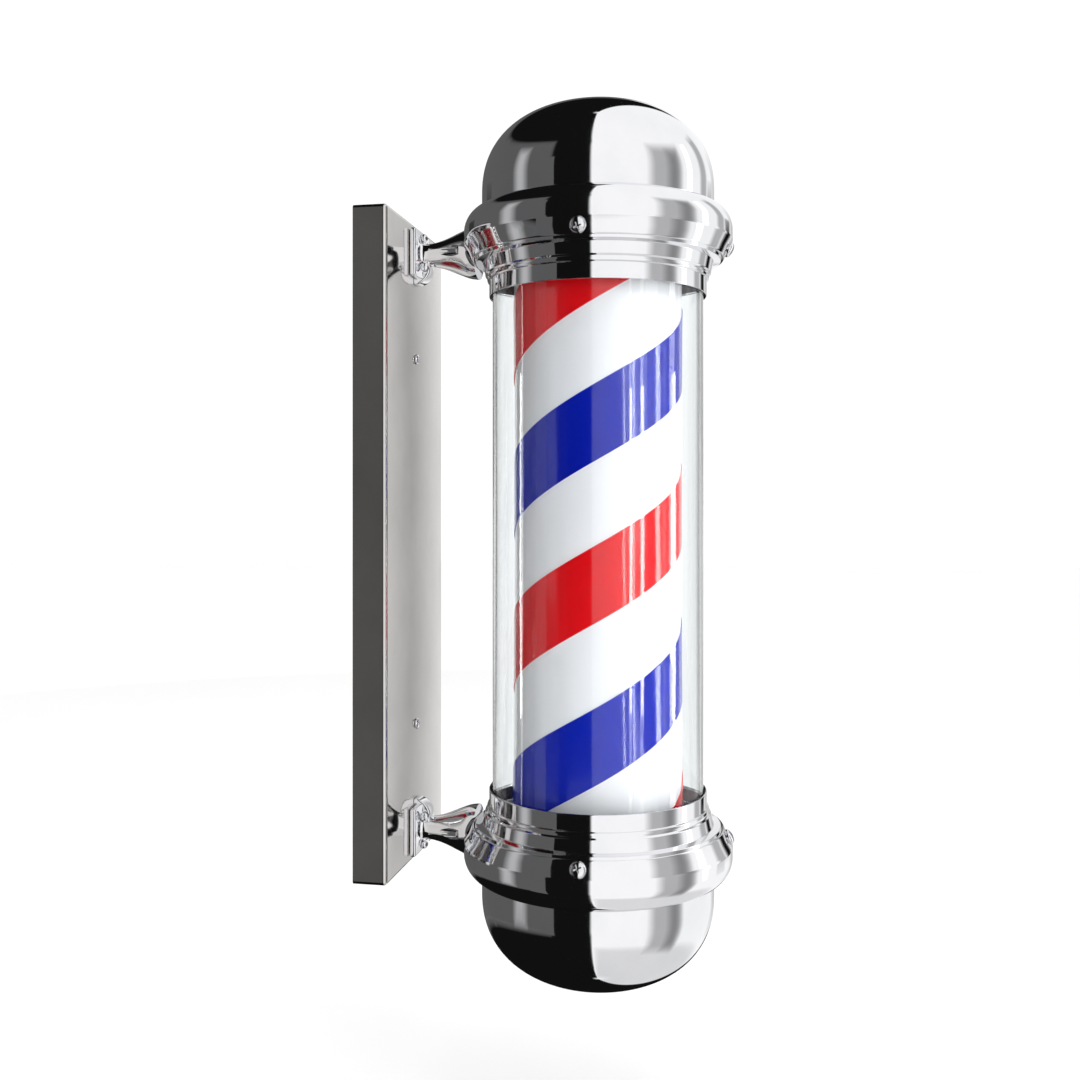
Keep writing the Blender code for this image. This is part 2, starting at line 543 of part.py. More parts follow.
# ---- chassis plates, drive, lamp ----------------------------------------------------
chassis_r = cone_in_start.x - 1.2 * MM
for s, end in ends:
    bore = BOSS_R + GAP if s < 0 else HOLDER_R + 2 * GAP
    outline = [(chassis_r, plate_z), (chassis_r, plate_z + CHASSIS_T),
               (bore, plate_z + CHASSIS_T), (bore, plate_z)]
    chassis = turned(end + "_chassis_plate", outline, ZINC, SIDES, s, (0, 0, 0), pole)
    if s < 0:
        lower_chassis = chassis
    else:
        upper_chassis = chassis

box_top = -(plate_z + CHASSIS_T + GAP)
shaft_top = -(DRUM_HALF - 4 * MM)
gear_bottom = box_top - GEARBOX_H
shaft_bottom = box_top - GEARBOX_H * 0.5
boss_top = -(plate_z - 3 * MM)
gear_outline = [(0.0, gear_bottom), (GEARBOX_R, gear_bottom), (GEARBOX_R, box_top),
                (BOSS_R, box_top), (BOSS_R, boss_top), (SHAFT_R + GAP, boss_top),
                (SHAFT_R + GAP, shaft_bottom - GAP), (0.0, shaft_bottom - GAP)]
gearbox = turned("gearbox_case", gear_outline, ZINC, 24, 1, (0, 0, 0), pole)
ear = block("gearbox_ear_tool", (2 * (GEARBOX_R + EAR_REACH), EAR_W, EAR_T), None,
            (0, 0, box_top - EAR_T / 2), pole, 0.6 * MM)
cut(gearbox, ear, "UNION")
hole(gearbox, SHAFT_R + GAP, 2 * (boss_top - shaft_bottom) + 2 * GAP, (0, 0, boss_top), pole, "Z", 16)
motor_screw_x = GEARBOX_R + EAR_REACH / 2
for sx, side in ((-1, "near"), (1, "far")):
    x = sx * motor_screw_x
    hole(gearbox, M3_R + SCREW_ROOM, 10 * MM, (x, 0, box_top), pole, "Z", 12)
    hole(lower_chassis, M3_R + SCREW_ROOM, 10 * MM, (x, 0, box_top), pole, "Z", 12)
    piece = screw(f"motor_screw_{side}", SCREW, 3.2 * MM, 2.2 * MM, M3_R, 6.5 * MM, 10)
    place(piece, (x, 0, box_top - EAR_T - GAP), (0, 0, -1), pole)
motor_top = gear_bottom - GAP
turned("motor_can", [(0.0, motor_top - MOTOR_H), (MOTOR_R - 1.5 * MM, motor_top - MOTOR_H),
                     (MOTOR_R, motor_top - MOTOR_H + 1.5 * MM), (MOTOR_R, motor_top),
                     (0.0, motor_top)], MOTOR_STEEL, 24, 1, (0, 0, 0), pole)

# turning pieces hang from an anchor on the drum's axis
drum_axis = anchor("drum_axis", (0, 0, 0), pole)
hub_low = boss_top + 1.5 * MM
cap_low = -(DRUM_HALF - 2 * MM)
turned("drive_shaft", [(0.0, shaft_bottom), (SHAFT_R, shaft_bottom), (SHAFT_R, shaft_top),
                       (0.0, shaft_top)], SCREW, 16, 1, (0, 0, 0), drum_axis)
hub_collar_top = cap_low - GAP
hub = [(SHAFT_R + GAP, hub_low), (HUB_R, hub_low), (HUB_R, hub_collar_top - 3 * MM),
       (HUB_R + HUB_FLANGE, hub_collar_top - 3 * MM), (HUB_R + HUB_FLANGE, hub_collar_top),
       (SHAFT_R + GAP, hub_collar_top)]
drive_hub = turned("drive_hub", hub, BRASS, 24, 1, (0, 0, 0), drum_axis)
set_z = (hub_low + hub_collar_top - 3 * MM) / 2
hole(drive_hub, 1.8 * MM, 2 * (HUB_R - SHAFT_R), (-HUB_R, 0, set_z), drum_axis, "X", 12)
rod("hub_set_screw", 1.5 * MM, HUB_R - SHAFT_R - 2 * GAP, SCREW,
    (-(HUB_R + SHAFT_R) / 2, 0, set_z), drum_axis, "X", 12)

cap_r = DRUM_R - DRUM_WALL - GAP
for s, end in ends:
    bore = SHAFT_R + GAP if s < 0 else GUIDE_R + GUIDE_FIT
    inside = cap_low * -1
    outline = [(cap_r, inside), (cap_r, inside - CAP_RIM_H), (cap_r - CAP_RIM_T, inside - CAP_RIM_H),
               (cap_r - CAP_RIM_T, inside - CAP_T), (bore, inside - CAP_T), (bore, inside)]
    cap = turned(end + "_drum_cap", outline, NYLON, SIDES, s, (0, 0, 0), drum_axis)
    for k in range(6):
        a = math.pi / 6 + k * math.pi / 3
        window = rod(cap.name + "_window_tool", 9 * MM if s > 0 else 12.5 * MM, 4 * CAP_T, None,
                     around(46 * MM if s > 0 else 42 * MM, a, s * inside), drum_axis, "Z", 10)
        cut(cap, window)

turned("drum_tube", [(DRUM_R, -DRUM_HALF), (DRUM_R, DRUM_HALF), (DRUM_R - DRUM_WALL, DRUM_HALF),
                     (DRUM_R - DRUM_WALL, -DRUM_HALF)], OPAL, SIDES, 1, (0, 0, 0), drum_axis)


def stripe(name, middle_z, mat):
    """A strip wound right-handed round the drum; middle_z is its middle facing -X."""
    inner = DRUM_R + GAP
    outer = inner + STRIPE_T
    limit = DRUM_HALF - 0.5 * MM
    tip = 0.8 * MM
    step = 2 * math.pi / SIDES

    def middle(angle):
        return middle_z + STRIPE_PITCH * (angle - math.pi) / (2 * math.pi)

    def angle_of(z):
        return math.pi + 2 * math.pi * (z - middle_z) / STRIPE_PITCH

    first = angle_of(-limit - STRIPE_H / 2 + tip)
    last = angle_of(limit + STRIPE_H / 2 - tip)
    angles = [first]
    k = math.ceil(first / step + 0.15)
    while k * step < last - 0.15 * step:
        angles.append(k * step)
        k += 1
    angles.append(last)
    bm = bmesh.new()
    sections = []
    for a in angles:
        low = max(middle(a) - STRIPE_H / 2, -limit)
        high = min(middle(a) + STRIPE_H / 2, limit)
        sections.append([bm.verts.new(around(r, a, z)) for r, z in
                         ((inner, low), (outer, low), (outer, high), (inner, high))])
    for one, two in zip(sections, sections[1:]):
        for k in range(4):
            n = (k + 1) % 4
            bm.faces.new([one[k], one[n], two[n], two[k]])
    bm.faces.new(list(reversed(sections[0])))
    bm.faces.new(sections[-1])
    return finish(name, bm, mat, (0, 0, 0), drum_axis)


stripe("blue_stripe", BLUE_Z_AT_SIDE, BLUE)
stripe("red_stripe", BLUE_Z_AT_SIDE - STRIPE_PITCH / 2, RED)

# guide ring under the upper plate, and the lamp hanging through it
guide_bottom = DRUM_HALF - 8 * MM
guide = [(GUIDE_BORE_R, guide_bottom), (GUIDE_R, guide_bottom), (GUIDE_R, plate_z - 4 * MM),
         (GUIDE_R + GUIDE_FLANGE, plate_z - 4 * MM), (GUIDE_R + GUIDE_FLANGE, plate_z - GAP),
         (GUIDE_BORE_R, plate_z - GAP)]
turned("guide_ring", guide, NYLON, 32, 1, (0, 0, 0), pole)

holder_low = DRUM_HALF - HOLDER_DROP
holder_seat = plate_z + CHASSIS_T + GAP
socket_top = holder_low + SOCKET_H
holder = [(0.0, holder_seat + 12 * MM), (HOLDER_R - 6 * MM, holder_seat + 12 * MM),
          (HOLDER_R + 7 * MM, holder_seat + 4 * MM), (HOLDER_R + 7 * MM, holder_seat),
          (HOLDER_R, holder_seat), (HOLDER_R, holder_low + 2 * MM),
          (HOLDER_R - 1 * MM, holder_low), (SOCKET_R, holder_low), (SOCKET_R, socket_top),
          (0.0, socket_top)]
lamp_holder = turned("lamp_holder", holder, CERAMIC, 24, 1, (0, 0, 0), pole)

base_top = socket_top - 3 * MM
base_low = holder_low - 4 * MM
turned("lamp_base", [(0.0, base_top), (5 * MM, base_top), (SOCKET_R - 1 * MM, base_top - 5 * MM),
                     (SOCKET_R - 1 * MM, base_low), (0.0, base_low)], BRASS, 20, 1, (0, 0, 0), pole)
neck = base_low - GAP
turned("lamp_diffuser", [(0.0, neck), (SOCKET_R, neck), (LAMP_R, neck - 12 * MM),
                         (LAMP_R, neck - LAMP_LEN + 14 * MM), (LAMP_R * 0.86, neck - LAMP_LEN + 6 * MM),
                         (LAMP_R * 0.5, neck - LAMP_LEN + 1.2 * MM), (0.0, neck - LAMP_LEN)],
       LAMP_GLASS, 24, 1, (0, 0, 0), pole)
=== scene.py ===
"""Looks of the barber pole light: chrome, polished steel, clear acrylic and glossy stripes."""
import json
import math

import bmesh
import bpy
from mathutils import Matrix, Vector


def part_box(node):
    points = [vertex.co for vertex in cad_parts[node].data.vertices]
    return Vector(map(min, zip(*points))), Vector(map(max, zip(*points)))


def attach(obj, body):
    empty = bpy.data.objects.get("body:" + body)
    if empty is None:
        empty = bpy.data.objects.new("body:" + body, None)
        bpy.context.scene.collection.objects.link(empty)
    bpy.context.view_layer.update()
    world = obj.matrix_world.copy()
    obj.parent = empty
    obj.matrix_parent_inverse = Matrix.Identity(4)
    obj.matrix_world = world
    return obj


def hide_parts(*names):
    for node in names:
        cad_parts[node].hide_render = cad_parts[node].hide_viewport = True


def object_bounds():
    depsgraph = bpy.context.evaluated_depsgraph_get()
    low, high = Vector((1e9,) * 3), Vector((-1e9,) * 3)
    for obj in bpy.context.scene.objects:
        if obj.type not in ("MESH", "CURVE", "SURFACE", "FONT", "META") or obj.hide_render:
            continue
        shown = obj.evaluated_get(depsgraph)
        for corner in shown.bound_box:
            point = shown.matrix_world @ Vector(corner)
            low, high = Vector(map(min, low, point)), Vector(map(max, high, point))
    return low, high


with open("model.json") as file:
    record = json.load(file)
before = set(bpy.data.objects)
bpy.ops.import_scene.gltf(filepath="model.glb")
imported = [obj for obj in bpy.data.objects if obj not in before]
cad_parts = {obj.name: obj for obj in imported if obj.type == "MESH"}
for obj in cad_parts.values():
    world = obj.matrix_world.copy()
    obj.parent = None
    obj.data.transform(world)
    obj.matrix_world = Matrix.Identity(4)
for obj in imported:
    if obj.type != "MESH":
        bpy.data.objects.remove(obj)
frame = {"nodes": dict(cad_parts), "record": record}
cad_low, cad_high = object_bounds()
MM = 0.001
SIDES = 144

# places that come from the frame
tube_low, tube_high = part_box("clear_tube")
POLE_Y = (tube_low.y + tube_high.y) / 2
TUBE_R = (tube_high.x - tube_low.x) / 2
TUBE_HALF = tube_high.z
cover_low, cover_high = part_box("wall_cover")
BOX_FRONT = cover_low.y
shoulder_low, shoulder_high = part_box("upper_shoulder")
SHOULDER_R = (shoulder_high.x - shoulder_low.x) / 2
SEAM_Z = shoulder_high.z
LIP_Z = shoulder_low.z
dome_low, dome_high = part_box("upper_dome")
DOME_TOP_Z = dome_high.z
DOME_R = (dome_high.x - dome_low.x) / 2 - 2.8 * MM
backing_low, backing_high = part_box("upper_arm_backing")
ARM_Z = (backing_low.z + backing_high.z) / 2
drum_low, drum_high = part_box("drum_tube")
DRUM_R = (drum_high.x - drum_low.x) / 2
DRUM_HALF = drum_high.z
COLLAR_LIP_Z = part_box("upper_collar")[0].z
COLLAR_R = TUBE_R + 2.7 * MM
NECK_R = COLLAR_R + 4.9 * MM
LIP_R = NECK_R + 8.4 * MM
BEVEL_R = SHOULDER_R - 0.3 * MM
BEVEL_Z = LIP_Z + 12.5 * MM
BULGE_Z = SEAM_Z - 17 * MM
SEAM_R = DOME_R + 0.8 * MM
SHEET = 1.5 * MM


# ---- materials -------------------------------------------------------------------
class Nodes:
    """One Principled material and short ways to wire nodes into it."""

    def __init__(self, name):
        self.mat = bpy.data.materials.new(name)
        self.mat.use_nodes = True
        self.tree = self.mat.node_tree
        self.shader = self.tree.nodes["Principled BSDF"]

    def add(self, kind, **values):
        node = self.tree.nodes.new(kind)
        for key, value in values.items():
            setattr(node, key, value)
        return node

    def link(self, a, b):
        self.tree.links.new(a, b)

    def set(self, **values):
        for key, value in values.items():
            self.shader.inputs[key.replace("_", " ")].default_value = value

    def coords(self, scale=(1, 1, 1)):
        tex = self.add("ShaderNodeTexCoord")
        mapping = self.add("ShaderNodeMapping")
        mapping.inputs["Scale"].default_value = scale
        self.link(tex.outputs["Object"], mapping.inputs["Vector"])
        return mapping.outputs["Vector"]

    def noise(self, scale, detail=3.0, stretch=(1, 1, 1), rough=0.5):
        node = self.add("ShaderNodeTexNoise")
        node.inputs["Scale"].default_value = scale
        node.inputs["Detail"].default_value = detail
        node.inputs["Roughness"].default_value = rough
        self.link(self.coords(stretch), node.inputs["Vector"])
        return node.outputs["Fac"]

    def ramp(self, fac, low, high, a=0.0, b=1.0):
        node = self.add("ShaderNodeMapRange")
        node.inputs["From Min"].default_value = a
        node.inputs["From Max"].default_value = b
        node.inputs["To Min"].default_value = low
        node.inputs["To Max"].default_value = high
        self.link(fac, node.inputs["Value"])
        return node.outputs["Result"]

    def tint(self, fac, dark, light):
        node = self.add("ShaderNodeMix", data_type="RGBA")
        node.inputs["A"].default_value = (*dark, 1)
        node.inputs["B"].default_value = (*light, 1)
        self.link(fac, node.inputs["Factor"])
        self.link(node.outputs["Result"], self.shader.inputs["Base Color"])
        return node.outputs["Result"]

    def bump(self, height, strength, distance):
        node = self.add("ShaderNodeBump")
        node.inputs["Strength"].default_value = strength
        node.inputs["Distance"].default_value = distance
        self.link(height, node.inputs["Height"])
        self.link(node.outputs["Normal"], self.shader.inputs["Normal"])


def metal(name, dark, light, rough, grain=(1, 1, 1), grain_scale=60, bump=0.02, wear=14):
    n = Nodes(name)
    n.set(Metallic=1.0)
    smudge = n.noise(wear, 4, rough=0.6)
    n.tint(n.ramp(smudge, 0, 1, 0.35, 0.65), dark, light)
    lines = n.noise(grain_scale, 2, grain)
    both = n.add("ShaderNodeMath", operation="MULTIPLY_ADD")
    n.link(lines, both.inputs[0])
    both.inputs[1].default_value = 0.5
    n.link(n.ramp(smudge, 0, 0.5), both.inputs[2])
    n.link(n.ramp(both.outputs[0], rough[0], rough[1], 0.3, 0.7), n.shader.inputs["Roughness"])
    n.bump(lines, bump, 0.0002)
    return n.mat


def plastic(name, dark, light, rough, bump=0.05, scale=220, wear=10, coat=0.0, coat_rough=0.05):
    n = Nodes(name)
    n.set(Coat_Weight=coat, Coat_Roughness=coat_rough, Specular_IOR_Level=0.5)
    cloud = n.noise(wear, 4)
    n.tint(n.ramp(cloud, 0, 1, 0.3, 0.7), dark, light)
    fine = n.noise(scale, 2)
    n.link(n.ramp(fine, rough[0], rough[1], 0.3, 0.7), n.shader.inputs["Roughness"])
    n.bump(fine, bump, 0.0002)
    return n


CHROME = metal("chrome", (0.80, 0.81, 0.83), (0.88, 0.88, 0.90), (0.025, 0.065), bump=0.006)
STAINLESS = metal("stainless", (0.60, 0.58, 0.56), (0.70, 0.68, 0.66), (0.05, 0.13),
                  (60, 60, 0.6), 12, 0.008, 9)
ZINC = metal("zinc_steel", (0.48, 0.49, 0.52), (0.62, 0.62, 0.60), (0.3, 0.5), grain_scale=40,
             bump=0.1, wear=45)
SCREW = metal("screw_steel", (0.70, 0.71, 0.73), (0.84, 0.84, 0.86), (0.07, 0.16), grain_scale=300,
              bump=0.02, wear=80)
BRASS = metal("brass", (0.62, 0.46, 0.20), (0.76, 0.60, 0.30), (0.18, 0.34), (1, 1, 30), 40,
              0.05, 40)
MOTOR = metal("motor_steel", (0.32, 0.33, 0.35), (0.44, 0.45, 0.47), (0.28, 0.42), (1, 1, 30),
              30, 0.06)
RUBBER = plastic("black_rubber", (0.022, 0.022, 0.022), (0.045, 0.045, 0.045), (0.6, 0.85), 0.3).mat
NYLON = plastic("white_nylon", (0.80, 0.80, 0.76), (0.90, 0.90, 0.87), (0.35, 0.55), 0.12).mat
CERAMIC = plastic("ceramic", (0.83, 0.82, 0.78), (0.92, 0.91, 0.89), (0.12, 0.3), 0.05, coat=0.4).mat
GLOW = plastic("lamp_diffuser", (0.92, 0.90, 0.84), (0.97, 0.96, 0.92), (0.3, 0.45), 0.04).mat
GLOW.node_tree.nodes["Principled BSDF"].inputs["Emission Color"].default_value = (1, 0.93, 0.82, 1)
GLOW.node_tree.nodes["Principled BSDF"].inputs["Emission Strength"].default_value = 2.0


def printed(name, dark, light, painted_glow):
    n = plastic(name, dark, light, (0.10, 0.2), 0.01, 160, 3, 0.3, 0.03)
    n.set(Specular_IOR_Level=0.25)
    # the emission is a painted glow: a faint light in each material's own colour that brightens the drum
    # and its stripes, which are no lamp
    n.shader.inputs["Emission Color"].default_value = (*painted_glow, 1)
    n.shader.inputs["Emission Strength"].default_value = 0.08
    return n.mat


# drum and stripe materials, each with a faint painted glow in its own colour
WHITE = printed("white_drum", (0.87, 0.87, 0.90), (0.94, 0.94, 0.96), (1, 1, 1))
RED = printed("red_vinyl", (0.64, 0.002, 0.005), (0.80, 0.005, 0.009), (0.95, 0.02, 0.03))
BLUE = printed("blue_vinyl", (0.0008, 0.006, 0.28), (0.002, 0.013, 0.38), (0.01, 0.04, 0.9))


def clear_acrylic():
    n = Nodes("clear_acrylic")
    n.set(Base_Color=(0.97, 0.99, 0.995, 1), Transmission_Weight=1.0, IOR=1.33)
    smear = n.noise(7, 3, (1, 1, 0.25))
    n.link(n.ramp(smear, 0.0, 0.014, 0.35, 0.7), n.shader.inputs["Roughness"])
    n.bump(n.noise(3, 2), 0.003, 0.0003)
    return n.mat


ACRYLIC = clear_acrylic()
LOOKS = {"chrome": CHROME, "stainless": STAINLESS, "zinc_steel": ZINC, "screw_steel": SCREW,
         "motor_steel": MOTOR, "brass": BRASS, "clear_acrylic": ACRYLIC, "white_drum": WHITE,
         "red_vinyl": RED, "blue_vinyl": BLUE, "black_rubber": RUBBER, "white_nylon": NYLON,
         "ceramic": CERAMIC, "lamp_diffuser": GLOW}
SLOTS = {entry["node"]: entry["material_slot"] for entry in frame["record"]["subparts"]}
BODY_OF = {n: body for body, names in frame["record"]["behaviour"]["bodies"].items() for n in names}
for name, obj in frame["nodes"].items():
    obj.data.materials.clear()
    obj.data.materials.append(LOOKS[SLOTS[name]])


# ---- making ----------------------------------------------------------------------
def dress(obj, node, smooth_angle=40):
    """Gives a finished mesh its CAD node's look and body, and hides that CAD node."""
    turn = obj.rotation_quaternion.to_matrix().to_4x4()
    obj.data.transform(turn)
    obj.rotation_quaternion = (1, 0, 0, 0)
    obj.data.materials.clear()
    obj.data.materials.append(LOOKS[SLOTS[node]])
    obj.data.shade_smooth()
    obj.data.set_sharp_from_angle(angle=math.radians(smooth_angle))
    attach(obj, BODY_OF[node])
    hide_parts(node)
    return obj


def make(name, bm):
    """A bmesh turned into an object in the scene."""
    bmesh.ops.recalc_face_normals(bm, faces=bm.faces[:])
    mesh = bpy.data.meshes.new(name)
    bm.to_mesh(mesh)
    bm.free()
    obj = bpy.data.objects.new(name, mesh)
    bpy.context.scene.collection.objects.link(obj)
    return obj


def eased(points, radius, steps=4):
    """The closed outline with each corner rounded, as far as its two sides allow."""
    out = []
    count = len(points)
    for i, point in enumerate(points):
        p = Vector(point)
        a = Vector(points[i - 1]) - p
        b = Vector(points[(i + 1) % count]) - p
        bend = math.pi - a.angle(b)
        if bend < math.radians(12) or p.x < 1e-6:
            out.append(p)
            continue
        cut = min(radius * math.tan(bend / 2), 0.45 * a.length, 0.45 * b.length)
        start, end = p + a.normalized() * cut, p + b.normalized() * cut
        for k in range(steps + 1):
            t = k / steps
            out.append(start * (1 - t) ** 2 + p * 2 * t * (1 - t) + end * t * t)
    return [(v.x, v.y) for v in out]


def spun(name, outline, sides=SIDES, flip=1, centre=None):
    """A closed (r, z) outline turned about a vertical line; flip = -1 is the lower copy."""
    bm = bmesh.new()
    rings = []
    for r, z in outline:
        if r < 1e-6:
            rings.append([bm.verts.new((0, 0, flip * z))])
        else:
            rings.append([bm.verts.new((r * math.cos(2 * math.pi * k / sides),
                                        r * math.sin(2 * math.pi * k / sides), flip * z))
                          for k in range(sides)])
    for one, two in zip(rings, rings[1:] + rings[:1]):
        if len(one) == 1 and len(two) == 1:
            continue
        for k in range(sides):
            n = (k + 1) % sides
            corners = [one[k % len(one)], one[n % len(one)], two[n % len(two)], two[k % len(two)]]
            bm.faces.new(list(dict.fromkeys(corners)))
    obj = make(name, bm)
    obj.location = centre if centre is not None else (0, POLE_Y, 0)
    return obj


def aim(obj, location, direction):
    """Places an object and turns its +Z towards direction."""
    obj.location = location
    obj.rotation_mode = "QUATERNION"
    obj.rotation_quaternion = Vector(direction).to_track_quat("Z", "Y")
    return obj


def bar(radius, length, location, direction):
    """A plain round bar for cutting holes."""
    half = length / 2
    tool = spun("tool", [(0, -half), (radius, -half), (radius, half), (0, half)], 48)
    return aim(tool, location, direction)


def slab(name, size, location, bevel, segments=4):
    bm = bmesh.new()
    bmesh.ops.create_cube(bm, size=1.0)
    bmesh.ops.scale(bm, vec=size, verts=bm.verts[:])
    if bevel:
        bmesh.ops.bevel(bm, geom=bm.edges[:], offset=bevel, segments=segments,
                        affect="EDGES", profile=0.5)
    obj = make(name, bm)
    obj.location = location
    return obj


def carve(obj, tools, operation="DIFFERENCE"):
    """Cuts or joins the tools, applies the result and removes the tools."""
    for tool in tools:
        mod = obj.modifiers.new("cut", "BOOLEAN")
        mod.operation = operation
        mod.solver = "EXACT"
        mod.object = tool
    return settle(obj, tools)


def settle(obj, spent=()):
    """Applies an object's modifiers and removes the tools they used."""
    bpy.context.view_layer.update()
    done = obj.evaluated_get(bpy.context.evaluated_depsgraph_get())
    mesh = bpy.data.meshes.new_from_object(done)
    obj.modifiers.clear()
    obj.data = mesh
    for tool in spent:
        bpy.data.objects.remove(tool, do_unlink=True)
    return obj


def round_screw(name, node, head_r, head_h, seat, direction, shank_r, shank_len):
    """A domed head with a cross recess, on the shank that its CAD node has."""
    crown = []
    for k in range(9):
        t = math.radians(90 * k / 8)
        crown.append((head_r * math.cos(t), head_h * (0.22 + 0.78 * math.sin(t))))
    crown[-1] = (0.0, head_h)
    outline = [(0.0, -shank_len), (shank_r * 0.7, -shank_len), (shank_r, -shank_len + shank_r * 0.4),
               (shank_r, 0.0), (head_r * 0.96, 0.0), (head_r, head_h * 0.06)] + crown
    obj = spun(name, outline, 40, 1, (0, 0, 0))
    arms = []
    for turn in (0.4, 0.4 + math.pi / 2):
        arm = slab("tool", (head_r * 1.05, head_r * 0.2, head_h), (0, 0, head_h * 1.05),
                   0.06 * head_r, 2)
        arm.rotation_euler.z = turn
        arms.append(arm)
    carve(obj, arms)
    aim(obj, seat, direction)
    return dress(obj, node, 35)


# ---- wall cover --------------------------------------------------------------------
ENDS = ((1, "upper"), (-1, "lower"))
width = cover_high.x - cover_low.x
height = cover_high.z - cover_low.z
depth = -BOX_FRONT
cover = slab("wall_cover_folded", (width, depth + 8 * MM, height),
             (0, BOX_FRONT + (depth + 8 * MM) / 2, 0), 3 * MM, 6)
inside = slab("tool", (width - 2 * SHEET, depth + 20 * MM, height - 2 * SHEET),
              (0, BOX_FRONT + SHEET + (depth + 20 * MM) / 2, 0), 1.5 * MM, 4)
behind = slab("tool", (2 * width, 40 * MM, 2 * height), (0, 20 * MM, 0), 0)
inlet_low, inlet_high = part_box("inlet_grommet")
inlet_y = (inlet_low.y + inlet_high.y) / 2
tools = [inside, behind, bar(6 * MM, 12 * MM, (0, inlet_y, cover_low.z), (0, 0, 1))]
dress(carve(cover, tools), "wall_cover", 30)

for flip, end in ENDS:
    low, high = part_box(end + "_cover_screw")
    z = (low.z + high.z) / 2
    round_screw(end + "_cover_screw_head", end + "_cover_screw", 4.5 * MM, 2.6 * MM,
                (0, BOX_FRONT - 0.3 * MM, z), (0, -1, 0), 2 * MM, 14 * MM)

lip_r = (inlet_high.x - inlet_low.x) / 2
grommet = [(lip_r - 5 * MM, inlet_low.z), (lip_r, inlet_low.z), (lip_r, cover_low.z - 0.3 * MM),
           (lip_r - 2.3 * MM, cover_low.z - 0.3 * MM), (lip_r - 2.3 * MM, cover_low.z + 1.8 * MM),
           (lip_r, cover_low.z + 1.8 * MM), (lip_r, inlet_high.z), (lip_r - 5 * MM, inlet_high.z)]
moulded = spun("inlet_grommet_moulded", eased(grommet, 0.8 * MM), 64, 1, (0, inlet_y, 0))
dress(moulded, "inlet_grommet")


# ---- pole ends ----------------------------------------------------------------------
def bulge(width_r, height_z, steps):
    """The shoulder's rounded outline, from its widest place to the dome."""
    return [(SEAM_R + width_r * math.cos(0.5 * math.pi * k / steps),
             BULGE_Z + height_z * math.sin(0.5 * math.pi * k / steps)) for k in range(steps + 1)]


bevel = Vector((BEVEL_R - LIP_R, BEVEL_Z - LIP_Z))
bevel_len = bevel.length
bevel.normalize()
inward = Vector((-bevel.y, bevel.x))
lip = Vector((LIP_R, LIP_Z))


SQUARENESS = 2 / 2.35           # 1 would make the crown an ellipse


def dome_curve(radius, base, top, steps):
    """The crown's outline, a quarter of a curve a little squarer than an ellipse."""
    points = []
    for k in range(steps):
        t = 0.5 * math.pi * k / steps
        points.append((radius * math.cos(t) ** SQUARENESS,
                       base + (top - base) * math.sin(t) ** SQUARENESS))
    return points + [(0.0, top)]


